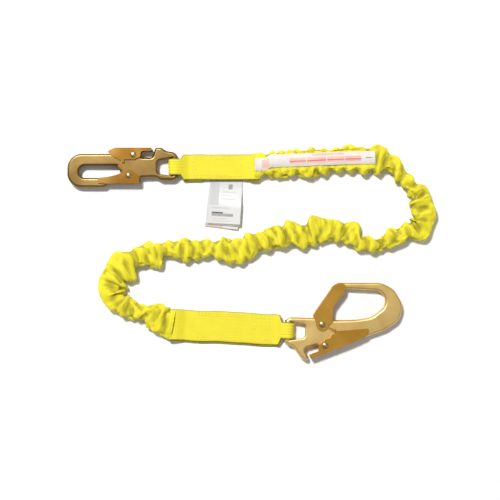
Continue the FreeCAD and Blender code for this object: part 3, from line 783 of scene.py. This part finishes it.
def thread_rows(name, rows, material, node, radius=0.42 * MM, length=2.9 * MM, pitch=4.2 * MM):
    """Rounded stitches whose ends dip into the cloth; a row is (start, end) in the frame."""
    points = []
    faces = []
    around = 6
    stations = [(-0.5, -0.5, 0.25), (-0.44, -0.1, 0.8), (-0.25, 0.35, 1.0), (0.0, 0.5, 1.0),
                (0.25, 0.35, 1.0), (0.44, -0.1, 0.8), (0.5, -0.5, 0.25)]
    for start, end in rows:
        start = np.array(start)
        way = np.array(end) - start
        count = max(1, int(np.linalg.norm(way) / pitch))
        step = way / count
        forward = way / np.linalg.norm(way)
        side = np.array([-forward[1], forward[0], 0.0])
        side /= np.linalg.norm(side)
        up = np.cross(forward, side)
        for k in range(count):
            middle = start + step * (k + 0.5)
            base = len(points)
            for share, lift, fat in stations:
                centre = middle + forward * share * length + up * lift * radius
                for j in range(around):
                    turn = j * 2 * math.pi / around
                    points.append(centre + fat * radius * (side * math.cos(turn)
                                                           + up * math.sin(turn)))
            faces += [tuple(base + v for v in face) for face in ring_faces(len(stations), around)]
    piece = make(name, points, faces, [material])
    finish_piece(piece, "lanyard", node)
    return piece


def seam_rows(at_start, offset, reach):
    """Two rows across the jacket's top near one end."""
    end = LINE[0] if at_start else LINE[-1]
    inward = (LINE[4] - LINE[0]) if at_start else (LINE[-5] - LINE[-1])
    inward = inward / np.linalg.norm(inward)
    side = np.array([-inward[1], inward[0], 0])
    rows = []
    for along in (2.5 * MM, 5.5 * MM):
        middle = end + inward * along + side * offset
        middle[2] = JACKET_MIDDLE + 5.4 * MM
        rows.append((middle - side * reach / 2, middle + side * reach / 2))
    return rows


# -------- straps

def strap_profile(length, low):
    """The doubled webbing seen from the side: (x, z, outward x, outward z) of its middle line."""
    low_middle = low - BAR_HEIGHT
    end_middle = JACKET_MIDDLE - BAR_HEIGHT
    flat = np.concatenate([np.linspace(-length - HIDDEN, -length + RISE, 11)[:-1],
                           np.linspace(-length + RISE, -MEET - 6 * MM, 34)[:-1],
                           np.linspace(-MEET - 6 * MM, 0, 36)])
    near = smooth_step(1 + flat / MEET)
    up = smooth_step(-(flat + length - RISE) / RISE)
    middle = low_middle * (1 - near) * (1 - up) + end_middle * up
    apart = WEB / 2 + 0.05 * MM + (LOOP - 0.05 * MM) * near
    top = [(x, z) for x, z in zip(flat, middle + apart)]
    bottom = [(x, z) for x, z in zip(flat, middle - apart)]
    bend = LOOP + WEB / 2
    loop = [(bend * math.sin(t), bend * math.cos(t)) for t in np.linspace(0, math.pi, 15)[1:-1]]
    line = np.array(top + loop + bottom[::-1])
    way = np.gradient(line, axis=0)
    way /= np.linalg.norm(way, axis=1)[:, None]
    return line, np.stack([-way[:, 1], way[:, 0]], axis=1)


def strap_width(x, width):
    """Drawn in to pass the eye, then the webbing's full width."""
    t = smooth_step((x + NECK) / SHOULDER)
    return width * (1 - t) + LOOP_WIDTH * t, t


def web_section(width, bunch):
    """Across the webbing: (across, thickness, face) with rolled selvedges and shallow ribs."""
    half = width / 2
    thick = WEB / 2
    flat = half - thick * 0.9
    across = np.linspace(-flat, flat, 41)
    selvedge = np.exp(-((np.abs(across) - (flat - 1.8 * MM)) / (0.55 * MM)) ** 2)
    ribs = 0.022 * MM * np.cos(across / flat * math.pi * 7)
    body = thick - 0.12 * MM * selvedge + ribs
    pleat = PLEAT * bunch * np.cos(across / flat * math.pi * 2.5) ** 2
    outer = list(zip(across, body + pleat))
    round_off = [(math.cos(a), math.sin(a)) for a in np.radians([50, 20, -20, -50])]
    right = [(flat + thick * 0.9 * c, thick * s) for c, s in round_off]
    inner = list(zip(across[::-1], -(thick - 0.02 * MM) * np.ones(41)))
    left = [(-x, z) for x, z in reversed(right)]
    return outer + right + inner + left


def strap_place(bar, turn, x, y, z):
    """A place in the frame; x is along the strap from the bar, y across it."""
    return (bar[0] + x * math.cos(turn) - y * math.sin(turn),
            bar[1] + x * math.sin(turn) + y * math.cos(turn), z)


def build_strap(name, bar, turn, length, width, low, material, node, wobble, straight=None):
    """Doubled webbing from the loop round the hook's bar to its end in the jacket.

    The edges sway, and the lower layer shows beyond the upper one, except where the strap has to
    be straight: between two distances from the bar, for something that turns beside it.
    """
    line, out = strap_profile(length, low)
    gone = np.concatenate([[0], np.cumsum(np.linalg.norm(np.diff(line, axis=0), axis=1))])
    rings = []
    edge_shade = []
    for i, (x, z) in enumerate(line):
        wide, bunch = strap_width(x, width)
        loose = 1 - bunch
        if straight:
            loose *= smooth_step(max(straight[0] + x, -x - straight[1]) / STRAIGHT_FADE)
        drift = loose * wobble * noise.noise(Vector((x / (30 * MM), 0.5, 9.2)))
        # Painted shade along the selvedges: narrow on the upper layer, wider on the lower one that shows
        # beyond it
        edge = SHADED_EDGE_TOP
        if i > len(line) / 2:
            drift -= PEEK * loose * math.cos(turn)
            edge = SHADED_EDGE
        ring = []
        for across, lift in web_section(wide, bunch):
            ring.append(strap_place(bar, turn, x + out[i][0] * lift, across + drift,
                                    BAR_HEIGHT + (z + out[i][1] * lift)))
            edge_shade.append(smooth_step(1 - (wide / 2 - abs(across)) / edge))
        rings.append(np.array(ring))
    strap = rings_to_piece(name, rings, gone, material)
    # Each point's share of painted shade at the selvedges
    set_values(strap, "painted_shade", edge_shade)
    finish_piece(strap, "lanyard", node)


def strap_rows(bar, turn, length, width, low):
    """Two rows along each edge and three rows across, on the strap's top."""
    height = low + WEB + THREAD_LIFT
    ends = []
    for inset in EDGE_ROWS:
        for side in (1, -1):
            y = side * (width / 2 - inset)
            ends.append(((-ROWS_START, y), (-length + ROWS_END, y)))
    reach = width / 2 - CROSS_INSET
    for x in CROSS_ROWS:
        ends.append(((-x, -reach), (-x, reach)))
    return [[strap_place(bar, turn, *end, height) for end in row] for row in ends]


# -------- label and booklet

def slip(name, width, length, thickness, place, cell, materials, choose):
    """A thin closed sheet on a grid; place(u, v) gives its middle, choose(u, v) its material."""
    columns = max(2, int(width / cell))
    rows = max(2, int(length / cell))
    points = []
    uvs = []
    for level in (0.5, -0.5):
        for i in range(rows + 1):
            for j in range(columns + 1):
                u = width * (j / columns - 0.5)
                v = length * i / rows
                points.append(np.array(place(u, v)) + (0, 0, level * thickness))
                uvs.append((v, u))
    one = (rows + 1) * (columns + 1)
    faces = []
    kinds = []
    for i in range(rows):
        for j in range(columns):
            a = i * (columns + 1) + j
            b = a + 1
            c = b + columns + 1
            d = a + columns + 1
            u = width * ((j + 0.5) / columns - 0.5)
            v = length * (i + 0.5) / rows
            faces.append((a, b, c, d))
            kinds.append(choose(u, v))
            faces.append((a + one, d + one, c + one, b + one))
            kinds.append(0)
    rim = list(range(columns))
    rim += [columns + i * (columns + 1) for i in range(rows)]
    rim += [one - 1 - j for j in range(columns)]
    rim += [(rows - i) * (columns + 1) for i in range(rows)]
    for here, after in zip(rim, rim[1:] + rim[:1]):
        faces.append((here, here + one, after + one, after))
        kinds.append(0)
    piece = make(name, points, faces, materials, uvs)
    piece.data.polygons.foreach_set("material_index", kinds)
    return piece


def in_boxes(u, v, boxes):
    """The number of the last (kind, u0, u1, v0, v1) box, in mm, that holds the point."""
    kind = 0
    for box_kind, u0, u1, v0, v1 in boxes:
        if u0 * MM < u < u1 * MM and v0 * MM < v < v1 * MM:
            kind = box_kind
    return kind


def label_point(u, v, above=0.0):
    """A place on the label: u across, v along. It bows over the jacket, puckers between its edges,
    sways a little, and its first end sits lower than the rest.
    """
    x = v - LABEL_LENGTH / 2
    pucker = 0.5 + 0.5 * math.sin(x / (5.2 * MM) + 1.7 * math.sin(x / (19 * MM)))
    edge = float(smooth_step((abs(u) - 4 * MM) / (4 * MM)))
    lift = (0.35 + pucker * (0.6 - 0.5 * edge)) * MM + label_drop(u) + above
    sway = LABEL_SWAY * math.sin(x / (27 * MM))
    sway -= LABEL_LOW_END * float(1 - smooth_step((v - 12 * MM) / (10 * MM)))
    return (LABEL_MIDDLE.x + x * math.cos(LABEL_TURN) - (u + sway) * math.sin(LABEL_TURN),
            LABEL_MIDDLE.y + x * math.sin(LABEL_TURN) + (u + sway) * math.cos(LABEL_TURN),
            LABEL_MIDDLE.z + float(lift))


def build_label(tape, inks):
    """White tape sewn along the jacket's top, slightly puckered between its stitches."""
    label = slip("sewn_label", LABEL_WIDTH, LABEL_LENGTH, 0.5 * MM, label_point, 0.7 * MM,
                 [tape, *inks], lambda u, v: in_boxes(u, v, LABEL_BARS))
    finish_piece(label, "lanyard", "warning_label")
    return label


def label_rows():
    """One short row for each stitch, so that the thread follows the label."""
    above = 0.28 * MM
    inset = 1.2 * MM
    pitch = 4.2 * MM
    half = 1.4 * MM
    rows = []
    side = LABEL_WIDTH / 2 - inset
    for v in np.arange(3.5 * MM, LABEL_LENGTH - 3 * MM, pitch):
        for u in (-side, side):
            rows.append((label_point(u, v - half, above), label_point(u, v + half, above)))
    for u in (-pitch, 0, pitch):
        for v in (inset, LABEL_LENGTH - inset):
            rows.append((label_point(u - half, v, above), label_point(u + half, v, above)))
    return rows


def build_leaf(name, level, width, length, lean, materials, bars, node, curl):
    """One leaf of the booklet: straight at its hem, a little curled at its free end."""
    lean = math.radians(lean)

    def place(u, v):
        x = u * math.cos(lean) + v * math.sin(lean)
        y = -v * math.cos(lean) + u * math.sin(lean) * float(smooth_step(v / LEAN_FADE))
        free = float(smooth_step((v - HEM_FLAT) / (0.5 * length)))
        lift = level * (0.45 + 0.45 * free) + 0.2
        lift += curl * (0.25 * free + free * (u / width + 0.5) ** 2)
        lift += 0.15 * math.sin(u / (9 * MM)) * free
        return (TAG_TOP.x + x, TAG_TOP.y + y - 0.05 * MM, TAG_TOP.z + lift * MM)

    leaf = slip(name, width, length, 0.28 * MM, place, 0.9 * MM, materials,
                lambda u, v: in_boxes(u, v, bars))
    finish_piece(leaf, "tag", node)


def build_hem(paper):
    """The booklet's bound edge under the strap: three leaves pressed and sewn together."""
    low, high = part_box("tag_sewn_edge")
    rings = []
    count = 30
    for i in range(count + 1):
        y = low.y + (high.y - low.y) * i / count
        layers = 0.04 * MM * math.sin(i * 1.3)
        ring = []
        for j in range(24):
            angle = j * math.pi / 12
            c = math.cos(angle)
            s = math.sin(angle)
            x = (low.x + high.x) / 2 + math.copysign(abs(c) ** 0.12, c) * (high.x - low.x) / 2
            z = (low.z + high.z) / 2 + math.copysign(abs(s) ** 0.3, s) * (
                (high.z - low.z) / 2 - 0.05 * MM + layers)
            ring.append((x, y, z))
        rings.append(np.array(ring))
    hem = rings_to_piece("booklet_hem", rings, np.linspace(0, high.y - low.y, count + 1), paper)
    finish_piece(hem, "lanyard", "tag_sewn_edge")


# -------- build

studio()
LINE, ALONG = route_points()

# The webbing darkens into painted shade along its selvedges
webbing = woven("webbing", YELLOW, YELLOW_SHADE, 1.1 * MM, 0.16 * MM, wale=3.0 * MM, mottled=0.4,
                sheen=0.08, soil=0.2, painted_shade=WEBBING_EDGE_SHADE)
core_cloth = woven("core_cloth", (0.75, 0.72, 0.62, 1), (0.5, 0.47, 0.4, 1), 1.4 * MM, 0.2 * MM)
rubber_cloth = woven("elastic_cloth", (0.32, 0.32, 0.30, 1), (0.12, 0.12, 0.12, 1), 0.8 * MM,
                     0.15 * MM, wale=2.0 * MM)
thread = woven("thread", (0.86, 0.76, 0.08, 1), (0.6, 0.5, 0.04, 1), 0.3 * MM, 0.04 * MM, uv=False,
               rough=0.6)
pale_thread = woven("pale_thread", (0.82, 0.78, 0.62, 1), (0.6, 0.56, 0.4, 1), 0.3 * MM, 0.04 * MM,
                    uv=False, rough=0.6)
tape = woven("label_tape", (0.75, 0.71, 0.66, 1), (0.66, 0.61, 0.55, 1), 0.7 * MM, 0.05 * MM,
             mottled=0.25, sheen=0.1)
pink_ink = printed("pink_print", (0.78, 0.43, 0.36, 1), (0.82, 0.60, 0.52, 1))
red_ink = printed("red_print", (0.62, 0.12, 0.10, 1), (0.72, 0.26, 0.20, 1))
grey_ink = printed("grey_print", (0.30, 0.28, 0.28, 1), (0.42, 0.40, 0.40, 1))
pale_ink = printed("pale_print", (0.51, 0.51, 0.50, 1), (0.57, 0.57, 0.56, 1))
dark_ink = printed("dark_print", (0.05, 0.05, 0.05, 1), (0.16, 0.16, 0.16, 1))
rose_ink = printed("rose_print", (0.56, 0.42, 0.40, 1), (0.68, 0.56, 0.54, 1))
paper = printed("booklet_paper", (0.63, 0.625, 0.61, 1), (0.56, 0.555, 0.54, 1), rough=0.45,
                coat=0.15)

jacket = build_jacket()
core = inner_band("folded_core", 25 * MM, 6 * MM, 0, core_cloth, "shock_core")
upper = inner_band("elastic_over_core", 16 * MM, 1.2 * MM, ELASTIC_HEIGHT, rubber_cloth,
                   "elastic_band_upper")
lower = inner_band("elastic_under_core", 16 * MM, 1.2 * MM, -ELASTIC_HEIGHT, rubber_cloth,
                   "elastic_band_lower")
label = build_label(tape, [pink_ink, red_ink, grey_ink])
label_thread = thread_rows("label_thread", label_rows(), pale_thread, "warning_label_stitching",
                           radius=0.3 * MM)

build_strap("webbing_to_small_hook", *SNAP_STRAP, webbing, "snap_end_strap", wobble=0.5 * MM,
            straight=BESIDE_TAG)
build_strap("webbing_to_large_hook", *LARGE_STRAP, webbing, "large_end_strap", wobble=1.2 * MM)
thread_rows("small_strap_thread", strap_rows(*SNAP_STRAP), thread, "snap_end_stitching")
thread_rows("large_strap_thread", strap_rows(*LARGE_STRAP), thread, "large_end_stitching")

seam_one = thread_rows("jacket_seam_thread_a", seam_rows(True, -5.2 * MM, 16 * MM), thread,
                       "jacket_seam_snap")
seam_two = thread_rows("jacket_seam_thread_b", seam_rows(False, 0, 22 * MM), thread,
                       "jacket_seam_large")

leaf_inks = [paper, pale_ink, grey_ink, dark_ink, rose_ink]
build_leaf("booklet_back_leaf", 0, 43.5 * MM, 63 * MM, -6.2, leaf_inks, BACK_BARS, "tag_back_leaf",
           2.8)
build_leaf("booklet_middle_leaf", 1, 42.5 * MM, 59 * MM, -4.6, leaf_inks, [], "tag_inner_leaf",
           4.0)
build_leaf("booklet_front_leaf", 2, 42.5 * MM, 57.5 * MM, -3.4, leaf_inks, TAG_BARS,
           "tag_front_leaf", 5.2)
thread_rows("booklet_thread", [((-0.0294, 0.1011, 0.00792), (0.0086, 0.1011, 0.00792))], thread,
            "tag_stitching", length=2.4 * MM, pitch=3.6 * MM)
build_hem(paper)

# -------- metal

forged_small = plated("small_hook_plate", (0.25, 0.158, 0.048, 1), (0.20, 0.118, 0.032, 1))
forged_large = plated("large_hook_plate", (0.81, 0.575, 0.215, 1), (0.71, 0.46, 0.15, 1),
                      rough=0.38)
pressed_small = plated("small_pressings", (0.29, 0.150, 0.022, 1), (0.27, 0.118, 0.015, 1),
                       rough=0.3, grain=1600.0, bite=0.02 * MM, wear=0.15)
pressed_large = plated("large_pressings", (0.68, 0.37, 0.055, 1), (0.62, 0.31, 0.038, 1),
                       rough=0.3, grain=1600.0, bite=0.02 * MM, wear=0.15)
rivet_metal = plated("rivet_plate", (0.46, 0.33, 0.15, 1), (0.40, 0.27, 0.10, 1), rough=0.26,
                     grain=2000.0, bite=0.01 * MM, wear=0.3)
wire_metal = plated("spring_wire", (0.42, 0.42, 0.43, 1), (0.30, 0.30, 0.32, 1), rough=0.25,
                    grain=2000.0, bite=0.01 * MM, wear=0.2)

METALS = {
    "snap_hook_body": forged_small, "large_hook_body": forged_large,
    "snap_gate": pressed_small, "snap_lock_lever": pressed_small,
    "large_gate": pressed_large, "large_lock_lever": pressed_large,
}
for hook in ("snap", "large"):
    for joint in ("gate", "lock"):
        METALS[f"{hook}_{joint}_rivet"] = rivet_metal
        METALS[f"{hook}_{joint}_spring"] = wire_metal
for node_name, metal in METALS.items():
    for material_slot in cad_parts[node_name].material_slots:
        material_slot.material = metal
